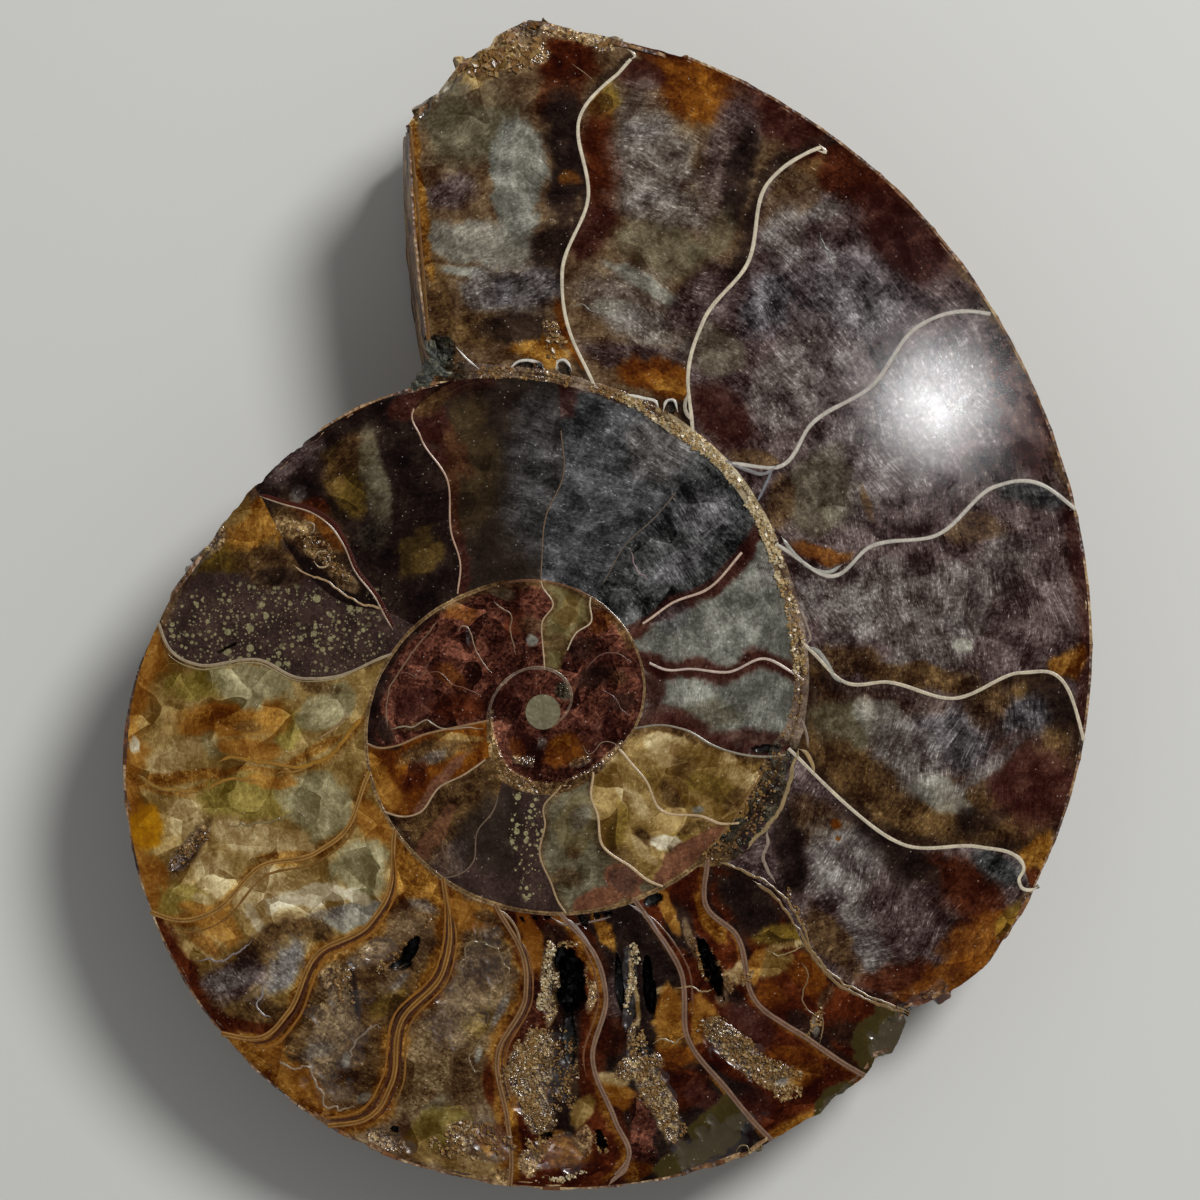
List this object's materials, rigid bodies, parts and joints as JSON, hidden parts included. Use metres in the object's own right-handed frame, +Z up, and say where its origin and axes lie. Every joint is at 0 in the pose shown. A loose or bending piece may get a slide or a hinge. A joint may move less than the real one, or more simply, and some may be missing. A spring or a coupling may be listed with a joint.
{
  "type": "ammonite fossil half",
  "caption": "Sawn and polished half of a coiled ammonite fossil, lying cut face up on its rounded flank.",
  "frame": {"origin": "middle of the bounding box in plan, on the surface that the fossil lies on", "axes": "+Z up, +Y from the rounded lower rim towards the broken mouth, +X to the right with the cut face seen from above"},
  "size_m": [0.0968, 0.117, 0.0199],
  "materials": {
    "calcite": "polished brown and amber calcite with cream shell walls"
  },
  "bodies": {
    "root": {"ammonite_half": "calcite"}
  },
  "joints": []
}
